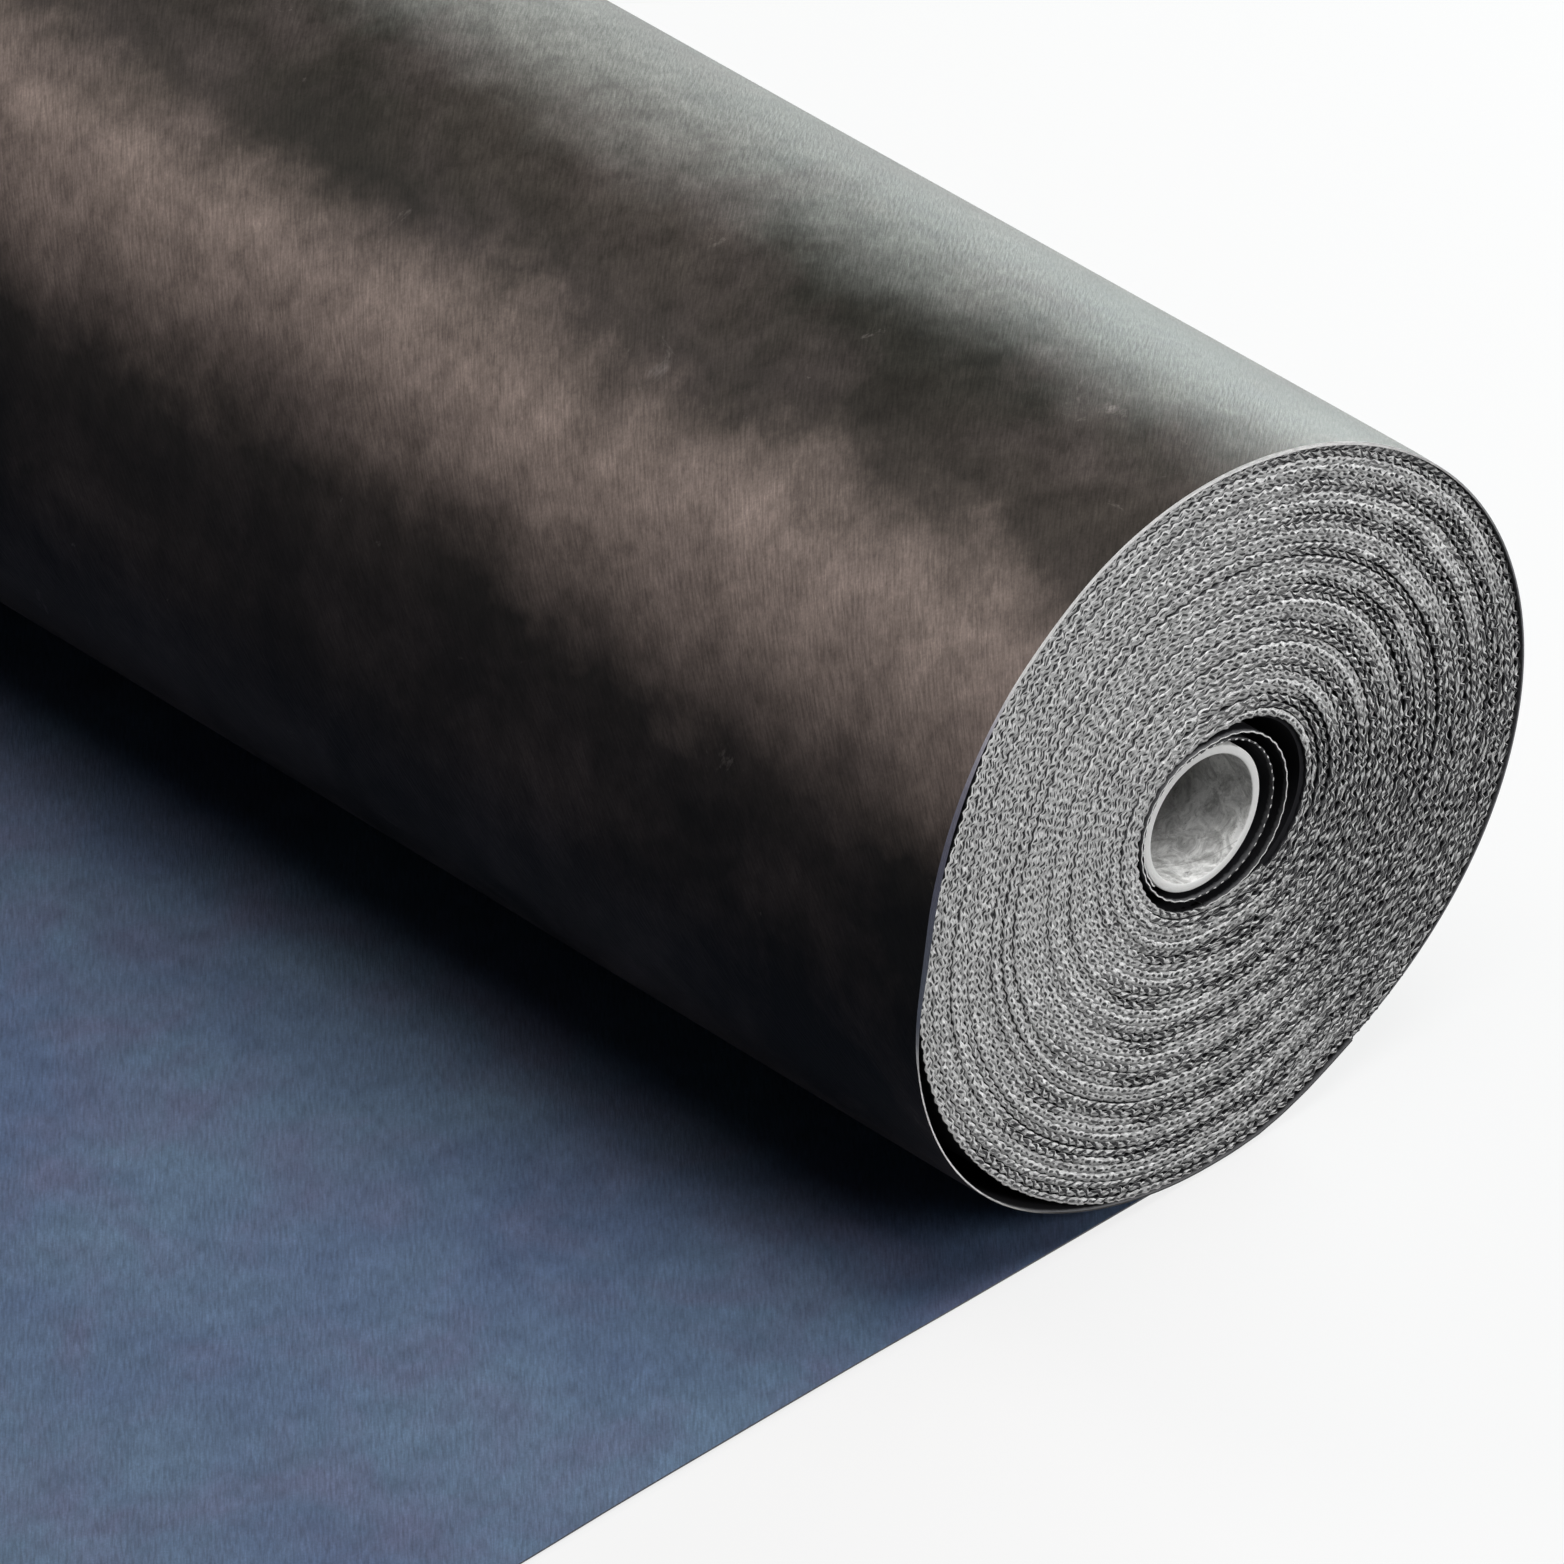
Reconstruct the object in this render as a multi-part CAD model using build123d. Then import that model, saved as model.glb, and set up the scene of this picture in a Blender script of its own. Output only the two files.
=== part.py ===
# Roll of roofing underlayment, lying on its side with a length pulled off it.
# The roll's axis runs along Y, its front end is at -Y, and the laid length runs towards -X.
# The origin is on the axis of the core's bore, halfway along it. Sizes are in millimetres.
# Sections are drawn as they are seen from the front end, with X to the right and Z up.

import os
from math import cos, radians, sin, tan

from build123d import *

# Membrane
web_width = 1000.0
web_thickness = 1.2
roll_radius = 148.0
laid_length = 800.0

# How far each turn sinks into the embossing of the next
nesting = 0.2

# How far the laid length is drawn back from the roll's front end
edge_setback = 7.0

# Cardboard core, and its clearance to the innermost turn
core_bore_diameter = 50.0
core_wall = 3.5
core_inset = 1.0
core_clearance = 0.3

# The middle of the roll, measured from the core, which is pressed to the upper left of the opening
roll_center_x = 11.4
roll_center_z = -4.8

# Slack of the two innermost turns, and of the opening that holds them
inner_turn_gap_right = 5.1
inner_turn_gap_below = 2.6
second_turn_gap_right = 5.6
second_turn_gap_below = 4.6
opening_gap_right = 8.3

# Direction from the core at which the web's inner edge ends
inner_edge_angle = 213.0

# The outermost turn leaves the roll here and hangs slack, straight at first and then over two arcs
slack_start_angle = 169.5
slack_straight = 28.0
slack_upper_radius = 117.0
slack_upper_sweep = 69.0

# Spiral seam between the turns, cut into both ends
seam_turns = 10
seam_width = 1.0
seam_depth = 1.4
seam_rim = 4.0
seam_hub = 46.0

# Two ends this near are one point
same_point = 0.001

half_width = web_width / 2
half_thickness = web_thickness / 2
turn_pitch = web_thickness - nesting
core_radius = core_bore_diameter / 2 + core_wall
seat_radius = core_radius + core_clearance
winding_radius = roll_radius - turn_pitch
outer_path_radius = roll_radius - half_thickness
roll_center = Vector(roll_center_x, roll_center_z)


def arc(center, radius, start, end):
    """Arc about a centre from one angle to another, in degrees anticlockwise from X."""
    angles = (start, (start + end) / 2, end)
    points = [center + Vector(cos(radians(a)), sin(radians(a))) * radius for a in angles]
    return ThreePointArc(*points)


def half_turn(side, reach, top, bottom, upwards=False):
    """Half of a turn on the right (side 1) or left (side -1), which reaches this far sideways."""
    radius = (top - bottom) / 2
    center = Vector(side * (reach - radius), (top + bottom) / 2)
    start, end = (90, 90 - 180 * side)
    if upwards:
        start, end = end, start
    return arc(center, radius, start, end)


def joined(pieces):
    """Arcs in order, with a straight run wherever one ends short of the next."""
    path = [pieces[0]]
    for piece in pieces[1:]:
        if (piece @ 0 - path[-1] @ 1).length > same_point:
            path.append(Line(path[-1] @ 1, piece @ 0))
        path.append(piece)
    return path


def band(path):
    """Section of the web along a path through the middle of its thickness."""
    return trace(Wire(path), web_thickness)


def inner_turns_path():
    """The web's inner edge and its last two turns, followed outwards, one path for each turn."""
    top = [seat_radius + half_thickness, seat_radius + half_thickness + turn_pitch]
    reach = [core_radius + inner_turn_gap_right + half_thickness]
    reach.append(reach[0] + web_thickness + second_turn_gap_right)
    bottom = [-(core_radius + inner_turn_gap_below + half_thickness)]
    bottom.append(bottom[0] - web_thickness - second_turn_gap_below)
    edge_turn = arc(Vector(0, 0), top[0], inner_edge_angle, 90)
    first = half_turn(1, reach[0], top[0], bottom[0])
    back_up = half_turn(-1, top[1], top[1], bottom[0], upwards=True)
    second = half_turn(1, reach[1], top[1], bottom[1])
    return joined([edge_turn, first]), joined([back_up, second])


def opening_section():
    """Flattened round inside the winding, which the core and the two loose turns leave."""
    outermost = inner_turns_path()[1][-1]
    sunk = half_thickness - nesting
    top = (outermost @ 0).Y + sunk
    bottom = (outermost @ 1).Y - sunk
    right = (outermost @ 0.5).X + half_thickness + opening_gap_right
    right_half = half_turn(1, right, top, bottom)
    left_half = half_turn(-1, top, top, bottom, upwards=True)
    outline = joined([right_half, left_half])
    outline.append(Line(outline[-1] @ 1, outline[0] @ 0))
    return make_face(Wire(outline))


def slack_path():
    """The outermost turn from the roll's right side over the top and slack down its left side."""
    over_top = arc(roll_center, outer_path_radius, 0, slack_start_angle)
    hanging = over_top @ 1 + over_top % 1 * slack_straight
    upper_center = hanging - (over_top @ 1 - roll_center).normalized() * slack_upper_radius
    turned = slack_start_angle + slack_upper_sweep
    upper = arc(upper_center, slack_upper_radius, slack_start_angle, turned)

    # The lower bend takes the room there is before the roll's middle, where the turn is tucked in
    resting_height = roll_center_z - outer_path_radius + turn_pitch
    tucked_end = Vector(roll_center_x, resting_height)
    run = ((upper @ 1).Y - resting_height) / -(upper % 1).Y
    corner = upper @ 1 + upper % 1 * run
    reach = min(run, (tucked_end - corner).X)
    lower_radius = reach / tan(radians((270 - turned) / 2))
    lower = arc(corner + Vector(reach, lower_radius), lower_radius, turned, 270)
    path = joined([over_top, upper, lower])
    if (tucked_end - path[-1] @ 1).length > same_point:
        path.append(Line(path[-1] @ 1, tucked_end))
    return path


def laid_path():
    """The laid length, and the first quarter turn up the roll's right side."""
    quarter = arc(roll_center, outer_path_radius, -90, 0)
    tangent_point = quarter @ 0
    return [Line(tangent_point - Vector(laid_length, 0), tangent_point), quarter]


def seam_path():
    """Spiral of half circles, from the rim of the winding in towards the opening."""
    pitch = (winding_radius - seam_rim - seam_hub) / seam_turns
    path = []
    for half in range(2 * seam_turns):
        radius = winding_radius - seam_rim - half * pitch / 2
        lift = pitch / 2 if half % 2 else 0
        start = -90 + 180 * half
        path.append(arc(roll_center + Vector(0, lift), radius, start, start + 180))
    return path


def wound_body():
    """Winding with its opening, the loose inner turns and the slack outer turn."""
    winding = Pos(roll_center_x, roll_center_z) * Circle(winding_radius)
    inner_turn, second_turn = inner_turns_path()
    pocket = opening_section() - band(inner_turn) - band(second_turn) + Circle(seat_radius)
    section = winding - pocket + band(slack_path())
    return extrude(Plane.XZ * section, half_width, both=True)


def laid_web():
    """Laid length, whose edges slant to the roll's ends on the way up its right side."""
    web = extrude(Plane.XZ * band(laid_path()), half_width + edge_setback, both=True)
    right = roll_center_x + roll_radius
    left = roll_center_x - laid_length
    corners = [(right, 0), (roll_center_x, edge_setback), (left, edge_setback)]
    front = [(x, shift - half_width) for x, shift in corners]
    back = [(x, shift + half_width) for x, shift in corners]
    plan = make_face(Polyline(*front, *reversed(back), close=True))
    block = extrude(plan, 2 * roll_radius, both=True)
    return web & block


def end_seams():
    """Spiral grooves in the two ends, which show the turns."""
    groove = trace(Wire(seam_path()), seam_width)
    front = extrude(Plane.XZ.offset(half_width - seam_depth) * groove, 2 * seam_depth)
    back = extrude(Plane.XZ.offset(-half_width - seam_depth) * groove, 2 * seam_depth)
    return [front, back]


def underlayment_membrane():
    membrane = wound_body() + laid_web()
    for seam in end_seams():
        membrane = membrane - seam
    return membrane


def core_tube():
    section = Circle(core_radius) - Circle(core_bore_diameter / 2)
    return extrude(Plane.XZ * section, half_width - core_inset, both=True)


os.makedirs("parts", exist_ok=True)
export_step(underlayment_membrane(), "parts/underlayment_membrane.step")
export_step(core_tube(), "parts/core_tube.step")
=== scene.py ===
from math import cos, exp, inf, pi, radians, sin, sqrt

import bpy
from mathutils import Matrix, Vector, noise


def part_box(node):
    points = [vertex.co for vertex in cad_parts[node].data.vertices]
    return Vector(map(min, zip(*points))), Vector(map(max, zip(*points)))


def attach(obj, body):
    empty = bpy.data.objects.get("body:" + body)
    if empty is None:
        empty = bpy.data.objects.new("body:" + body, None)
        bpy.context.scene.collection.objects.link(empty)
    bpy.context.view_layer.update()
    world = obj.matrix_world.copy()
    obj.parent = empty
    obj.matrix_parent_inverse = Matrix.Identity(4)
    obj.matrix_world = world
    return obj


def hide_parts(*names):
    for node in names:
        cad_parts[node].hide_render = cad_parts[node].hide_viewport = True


# Roll of roofing underlayment, with a length of its web pulled off to the left
# Metres, Z up, roll along Y, photographed end at -Y

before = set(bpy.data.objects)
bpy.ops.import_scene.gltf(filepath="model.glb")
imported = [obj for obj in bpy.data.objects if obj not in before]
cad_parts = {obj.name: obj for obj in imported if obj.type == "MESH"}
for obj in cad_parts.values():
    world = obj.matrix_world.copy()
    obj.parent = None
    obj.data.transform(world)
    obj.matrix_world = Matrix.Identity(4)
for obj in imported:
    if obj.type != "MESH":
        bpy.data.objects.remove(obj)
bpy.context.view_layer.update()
scene = bpy.context.scene

membraneLow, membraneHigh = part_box("underlayment_membrane")
coreLow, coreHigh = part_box("core_tube")
rollRadius = (membraneHigh.z - membraneLow.z) / 2
rollX = membraneHigh.x - rollRadius  # middle of the roll, seen from its end
rollZ = membraneLow.z + rollRadius
endY = -membraneLow.y  # both ends of the roll lie this far from the middle
laidSetback = membraneHigh.y - endY  # the laid length is drawn back from the front end
floorZ = membraneLow.z
coreRadius = (coreHigh.x - coreLow.x) / 2
coreEndY = coreHigh.y

webThickness = 0.0012
embossing = {"length": 0.0053, "height": 0.0002}
fullTurn = 2 * pi
noiseSpan = (0.3, 0.7)  # nearly all of a noise's values lie between these


# Small helpers for node trees

def plug(tree, made, inputs):
    # an input takes a link from another node, or a plain value
    for name, value in inputs.items():
        if isinstance(value, bpy.types.NodeSocket):
            tree.links.new(value, made.inputs[name])
        else:
            made.inputs[name].default_value = value


def addNode(tree, kind, inputs=None, **settings):
    made = tree.nodes.new(kind)
    for name, value in settings.items():
        setattr(made, name, value)
    plug(tree, made, inputs or {})
    return made


signs = {"+": "ADD", "-": "SUBTRACT", "*": "MULTIPLY", "/": "DIVIDE", "*+": "MULTIPLY_ADD",
         "<": "LESS_THAN", ">": "GREATER_THAN"}


def calcIn(tree):
    # gives a function that adds a Math node and returns its output
    # sums and products take more than two values, with a node for each step
    def calc(sign, *values):
        if sign in ("+", "*") and len(values) > 2:
            values = (calc(sign, *values[:-1]), values[-1])
        made = addNode(tree, "ShaderNodeMath", dict(enumerate(values)),
                       operation=signs.get(sign, sign))
        return made.outputs[0]
    return calc


def cloud(tree, vector, scale, detail=3.0, rough=0.55, warp=0.0):
    made = addNode(tree, "ShaderNodeTexNoise", {
        "Vector": vector, "Scale": scale, "Detail": detail, "Roughness": rough, "Distortion": warp})
    return made.outputs["Fac"]


def marks(tree, vector, look, toLow=0.0, toHigh=1.0):
    # a cloud (scale, detail, roughness, distortion) spread out between two levels
    settings, levels = look
    return spreadOut(tree, cloud(tree, vector, *settings), *levels, toLow, toHigh)


def lineNoise(tree, value):
    made = addNode(tree, "ShaderNodeTexNoise", {"W": value, "Scale": 1.0, "Detail": 1.0},
                   noise_dimensions="1D")
    return made.outputs["Fac"]


def spreadOut(tree, value, low, high, toLow=0.0, toHigh=1.0):
    made = addNode(tree, "ShaderNodeMapRange", {
        "Value": value, "From Min": low, "From Max": high, "To Min": toLow, "To Max": toHigh})
    return made.outputs["Result"]


def mixColors(tree, share, first, second, blend="MIX"):
    # inputs 6 and 7 and output 2 are the node's colours
    made = addNode(tree, "ShaderNodeMix", {0: share, 6: first, 7: second}, data_type="RGBA",
                   blend_type=blend)
    return made.outputs[2]


def splitUp(tree, vector):
    return addNode(tree, "ShaderNodeSeparateXYZ", {0: vector}).outputs


def joinUp(tree, x, y, z=0.0):
    return addNode(tree, "ShaderNodeCombineXYZ", {"X": x, "Y": y, "Z": z}).outputs[0]


def onWeb(tree):
    # the web's own UV map in metres: the length along it, and y
    return addNode(tree, "ShaderNodeUVMap", uv_map="web").outputs["UV"]


def inSpace(tree):
    return addNode(tree, "ShaderNodeTexCoord").outputs["Object"]


def farOff(calc, x, y):
    return calc("SQRT", calc("+", calc("*", x, x), calc("*", y, y)))


def rgb(red, green, blue):
    return (red, green, blue, 1.0)


def colorRamp(tree, value, stops, longest=2.0):
    # stops are pairs of a length in metres and the colour there
    made = addNode(tree, "ShaderNodeValToRGB")
    elements = made.color_ramp.elements
    while len(elements) < len(stops):
        elements.new(1.0)
    for element, (length, color) in zip(elements, stops):
        element.position = length / longest
        element.color = color
    tree.links.new(calcIn(tree)("/", value, longest), made.inputs[0])
    return made.outputs[0]


def newMaterial(name):
    made = bpy.data.materials.new(name)
    made.use_nodes = True
    tree = made.node_tree
    return made, tree, tree.nodes["Principled BSDF"], calcIn(tree)


def dress(tree, shader, look, color, height, roughness):
    depth, strength = look["relief"]
    bump = addNode(tree, "ShaderNodeBump", {
        "Height": height, "Distance": depth, "Strength": strength})
    plug(tree, shader, {"Base Color": color, "Roughness": roughness, "Normal": bump.outputs[0]})


# The web's two faces are felts with a fine slanted grain

feltOuter = {
    "ground": (rgb(0.0185, 0.0175, 0.0150), rgb(0.165, 0.131, 0.117)),  # olive and brown
    "patch": rgb(0.085, 0.068, 0.066),
    "patchShare": 0.35,
    "scuff": rgb(0.270, 0.240, 0.225),
    "tones": (0.72, 1.34),
    # bands lie along the roll at these lengths of web, mostly painted light: a grey-green painted
    # sheen near the top, a dark stripe, a brown painted highlight band and near-black painted shade
    # down the roll's left flank
    "paintedLightBands": [(0.20, rgb(0.060, 0.056, 0.050)), (1.05, rgb(0.080, 0.078, 0.070)),
               (1.225, rgb(0.130, 0.134, 0.125)), (1.27, rgb(0.021, 0.020, 0.0165)),
               (1.325, rgb(0.019, 0.0175, 0.015)), (1.365, rgb(0.250, 0.200, 0.178)),
               (1.395, rgb(0.215, 0.172, 0.154)), (1.437, rgb(0.013, 0.012, 0.012)),
               (1.48, rgb(0.006, 0.006, 0.007))],
    "paintedBandShare": 0.86,
    "roughness": 0.46,
    "specular": 0.06,
    "grainTurn": radians(-39),  # grain direction in the UV map
}
feltInner = {
    "ground": (rgb(0.060, 0.094, 0.172), rgb(0.076, 0.124, 0.196)),  # slate and teal
    "patch": rgb(0.080, 0.094, 0.166),
    "patchShare": 0.75,
    "scuff": rgb(0.098, 0.140, 0.212),
    "tones": (0.86, 1.14),
    "paintedLightBands": None,
    "roughness": 0.55,
    "specular": 0.45,
    "grainTurn": radians(48),
}
felt = {
    "grainLong": 0.0085,
    "grainShort": 0.0010,
    "grainTones": (0.77, 1.25),
    "fibreTones": (0.88, 1.12),
    "paintedBandDrift": 0.07,  # how far the painted light bands wander, and their edges fray
    "paintedBandFray": 0.05,
    "scuffShare": 0.5,
    "relief": (0.00024, 0.6),  # depth and strength
    "mottleRelief": 0.6,  # beside the grain's
    "roughSpread": (-0.05, 0.06),
}
feltMarks = {  # each with its noise, and the levels it is spread between
    "ground": ((7.0, 4.0, 0.55, 0.3), (0.38, 0.62)),
    "patches": ((17.0, 5.0, 0.6, 0.6), (0.45, 0.68)),
    "scuffs": ((34.0, 6.0, 0.7, 0.8), (0.66, 0.78)),
    "fibres": ((900.0, 2.0, 0.6), noiseSpan),
}
feltNoise = {
    "paintedBandDrift": (6.0, 4.0, 0.6),
    "paintedBandFray": (26.0, 4.0, 0.65),
    "mottle": (62.0, 6.0, 0.66),
    "grain": (1.0, 2.0, 0.6),
}


def feltMaterial(name, look):
    made, tree, shader, calc = newMaterial(name)
    web = onWeb(tree)

    def wander(part):
        return calc("*+", cloud(tree, web, *feltNoise[part]), felt[part], -felt[part] / 2)

    # the grain: first turned, then stretched, as one Mapping node would scale before it turns
    grain = addNode(tree, "ShaderNodeMapping", {
        "Vector": web, "Rotation": (0, 0, -look["grainTurn"])}).outputs[0]
    grain = addNode(tree, "ShaderNodeMapping", {
        "Vector": grain, "Scale": (1 / felt["grainLong"], 1 / felt["grainShort"], 1.0)}).outputs[0]
    streaks = cloud(tree, grain, *feltNoise["grain"])

    color = mixColors(tree, marks(tree, web, feltMarks["ground"]), *look["ground"])
    # painted light: bands along the roll stand in for its sheen, its highlight band and its shaded
    # flank
    if look["paintedLightBands"]:
        unevenness = calc("+", wander("paintedBandDrift"), wander("paintedBandFray"))
        length = calc("+", splitUp(tree, web)[0], unevenness)
        paintedLightBands = colorRamp(tree, length, look["paintedLightBands"])
        color = mixColors(tree, look["paintedBandShare"], color, paintedLightBands)
    patches = marks(tree, web, feltMarks["patches"], 0.0, look["patchShare"])
    color = mixColors(tree, patches, color, look["patch"])
    scuffs = calc("*", marks(tree, web, feltMarks["scuffs"]), felt["scuffShare"])
    color = mixColors(tree, scuffs, color, look["scuff"])

    mottle = cloud(tree, web, *feltNoise["mottle"])
    tone = calc("*", spreadOut(tree, mottle, *noiseSpan, *look["tones"]),
                spreadOut(tree, streaks, *noiseSpan, *felt["grainTones"]),
                marks(tree, web, feltMarks["fibres"], *felt["fibreTones"]))
    toned = addNode(tree, "ShaderNodeVectorMath", {0: color, "Scale": tone}, operation="SCALE")
    height = calc("+", streaks, calc("*", mottle, felt["mottleRelief"]))
    roughest = [look["roughness"] + part for part in felt["roughSpread"]]
    roughness = spreadOut(tree, mottle, *noiseSpan, *roughest)
    dress(tree, shader, felt, toned.outputs[0], height, roughness)
    shader.inputs["Specular IOR Level"].default_value = look["specular"]
    return made


# Cut edges show pale, fluffy fibre. Its strokes lie along the turns.

# dark slate, which serves as painted shade on the web's edge on the roll's left
slateEdge = rgb(0.030, 0.037, 0.060)
paleEdge = rgb(0.92, 0.91, 0.90)
# painted shade for cut edges: in hollows, between dots and where the web is tucked in
paintedShadeEdge = rgb(0.012, 0.012, 0.014)

cutEdge = {
    "strokeSize": (0.0022, 0.0008),  # along the turns, and across them
    "strokes": ((1.0, 3.0, 0.65), (0.34, 0.66)),  # noise and levels
    "lineSize": (0.045, 0.0009),  # long pale fibres, here and there
    "lines": ((1.0, 1.0), (0.62, 0.70)),
    "lineShare": 0.8,
    "trueRadius": 0.1,  # on turns of this radius the marks are as long as given
    "roughness": 0.75,
    "relief": (0.0004, 0.5),
    "hollowRelief": 1.5,  # beside the fibre's
}
plyEdgeLook = {
    "pale": rgb(0.94, 0.94, 0.935),
    "shade": rgb(0.33, 0.33, 0.332),
    "rimWaves": (62, 177),  # from wave to wave the outermost ply's outer half is pressed pale
    "rimHalf": (0.45, 0.60),  # levels of the place across the edge, which runs from -1 to 1
}
webEdgeLook = {
    "pale": rgb(1, 1, 1),
    "shade": rgb(0.72, 0.72, 0.72),
    # dark along the laid length and up the right side, pale on top of the roll, painted shade on
    # its left where the roll shades it, then pale again on the slack and painted shade where it is
    # tucked in
    "tones": [(0.0, slateEdge), (1.08, rgb(0.16, 0.16, 0.17)), (1.20, paleEdge),
              (1.365, paleEdge), (1.385, rgb(0.44, 0.42, 0.48)), (1.41, rgb(0.13, 0.125, 0.17)),
              (1.44, rgb(0.035, 0.037, 0.066)), (1.47, slateEdge), (1.505, slateEdge),
              (1.53, paleEdge), (1.59, paleEdge), (1.64, paintedShadeEdge)],
}
looseEdgeLook = {
    "pale": rgb(0.92, 0.92, 0.91),
    "shade": rgb(0.55, 0.55, 0.55),
    "dotted": (0.212, 0.328),  # here the embossing breaks the edge into dots, with painted shade between them
    "dotPitch": 0.7,  # in embossing lengths
    "dotLevels": (-0.75, -0.25),
}
hollows = {
    "unevenness": (150.0, 2.0),  # scale and detail of the noise that shifts them
    "slant": 0.30,  # lengths are in waves
    "slantShift": 0.8,
    "width": (0.42, 0.17),  # gain with looseness, and the least
    "edge": (0.05, 0.08),
    "lips": (0.82, 1.0),  # they stay clear of the ply's two faces
    "looseness": (0.12, 0.45),  # tighter turns have none, only pits
    "pitsInWave": 1.5,
    "pitShift": 1.6,
    "pitLength": 2.3,  # the larger, the shorter along the edge, and the narrower across it
    "pitAside": 1.9,
    "pitAsideShift": 4.0,
    "pitEdge": (0.60, 0.88),
    "pitFade": -0.4,  # paler in loose turns
}


def alongTurns(tree, calc, long, short):
    # a vector for noise whose marks are this long along the turns and this short across them
    x, _, z = splitUp(tree, inSpace(tree))
    x, z = calc("-", x, rollX), calc("-", z, rollZ)
    radius = farOff(calc, x, z)
    pace = calc("/", cutEdge["trueRadius"] / long, radius)
    return joinUp(tree, calc("*", x, pace), calc("*", z, pace), calc("/", radius, short))


def embossedHollows(tree, calc, waves, across, signedLoose):
    # the cut embossing: slanted hollows where the turns lie loose, small pits where they are tight
    loose = calc("ABSOLUTE", signedLoose)
    scale, detail = hollows["unevenness"]
    uneven = addNode(tree, "ShaderNodeTexNoise", {
        "Vector": inSpace(tree), "Scale": scale, "Detail": detail})
    shift = splitUp(tree, uneven.outputs["Color"])

    slant = calc("*", calc("SIGN", signedLoose), across, hollows["slant"])
    slant = calc("+", waves, slant, calc("*", shift[0], hollows["slantShift"]))
    width = calc("*+", loose, *hollows["width"])
    start, end = hollows["edge"]
    edge = calc("-", width, start), calc("+", width, end)
    hollow = calc("*", spreadOut(tree, calc("FRACT", slant), *edge, 1.0, 0.0),
                  spreadOut(tree, calc("ABSOLUTE", across), *hollows["lips"], 1.0, 0.0),
                  spreadOut(tree, loose, *hollows["looseness"]))

    along = calc("*", shift[1], hollows["pitShift"])
    along = calc("FRACT", calc("*+", waves, hollows["pitsInWave"], along))
    along = calc("*", calc("-", along, 0.5), hollows["pitLength"])
    sideways = hollows["pitAsideShift"]
    aside = calc("*+", shift[2], sideways, -sideways / 2)
    aside = calc("*+", across, hollows["pitAside"], aside)
    pit = spreadOut(tree, farOff(calc, along, aside), *hollows["pitEdge"], 1.0, 0.0)
    faded = calc("*+", loose, hollows["pitFade"], 1.0)
    return calc("MAXIMUM", hollow, calc("*", pit, faded))


def cutEdgeMaterial(name, look):
    made, tree, shader, calc = newMaterial(name)
    fibres = marks(tree, alongTurns(tree, calc, *cutEdge["strokeSize"]), cutEdge["strokes"])
    lines = marks(tree, alongTurns(tree, calc, *cutEdge["lineSize"]), cutEdge["lines"])
    lines = calc("*", lines, cutEdge["lineShare"])
    color = mixColors(tree, calc("MAXIMUM", fibres, lines), look["shade"], look["pale"])
    height = fibres
    if "rimWaves" in look:
        # the count of waves, the place across the edge and how loose the turn lies
        ply = addNode(tree, "ShaderNodeAttribute", attribute_name="ply").outputs["Vector"]
        waves, across, loose = splitUp(tree, ply)
        hollow = embossedHollows(tree, calc, waves, across, loose)
        # painted shade in the embossed hollows and pits, which the bump also presses in
        color = mixColors(tree, hollow, color, paintedShadeEdge)
        start, end = look["rimWaves"]
        onRim = calc("*", calc(">", waves, start), calc("<", waves, end),
                     spreadOut(tree, across, *look["rimHalf"]))
        color = mixColors(tree, onRim, color, paleEdge)
        height = calc("-", fibres, calc("*", hollow, cutEdge["hollowRelief"]))
    # painted shade along the web's edge, where the roll shades it and where it is tucked in
    if "tones" in look:
        tones = colorRamp(tree, splitUp(tree, onWeb(tree))[0], look["tones"])
        color = mixColors(tree, 1.0, color, tones, "MULTIPLY")
    if "dotted" in look:
        length = splitUp(tree, onWeb(tree))[0]
        start, end = look["dotted"]
        away = calc("ABSOLUTE", calc("-", length, (start + end) / 2))
        within = calc("<", away, (end - start) / 2)
        pace = fullTurn / (look["dotPitch"] * embossing["length"])
        gaps = spreadOut(tree, calc("SINE", calc("*", length, pace)), *look["dotLevels"])
        # painted shade between the dots
        color = mixColors(tree, calc("*", within, gaps), color, paintedShadeEdge)
    dress(tree, shader, cutEdge, color, height, cutEdge["roughness"])
    return made


# Between the wound turns the felt carries painted shade, near-black deeper in, and painted light a
# little paler at the cut end, where light reaches in

innerWall = {
    "paintedLitDepth": 0.0016,
    "paintedLitUneven": -0.0008,
    "mottle": ((700.0, 3.0, 0.6), noiseSpan),
    "pale": rgb(0.12, 0.12, 0.125),
    "deep": rgb(0.012, 0.012, 0.014),
    "roughness": 0.8,
    "specular": 0.1,
}


def innerWallMaterial(name):
    made, tree, shader, calc = newMaterial(name)
    place = inSpace(tree)
    # painted shade by depth: pale at the cut end, near-black further in
    depth = calc("-", endY, calc("ABSOLUTE", splitUp(tree, place)[1]))
    depth = calc("*+", marks(tree, place, innerWall["mottle"]), innerWall["paintedLitUneven"], depth)
    deep = spreadOut(tree, depth, 0.0, innerWall["paintedLitDepth"])
    plug(tree, shader, {
        "Base Color": mixColors(tree, deep, innerWall["pale"], innerWall["deep"]),
        "Roughness": innerWall["roughness"],
        "Specular IOR Level": innerWall["specular"]})
    return made


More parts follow.
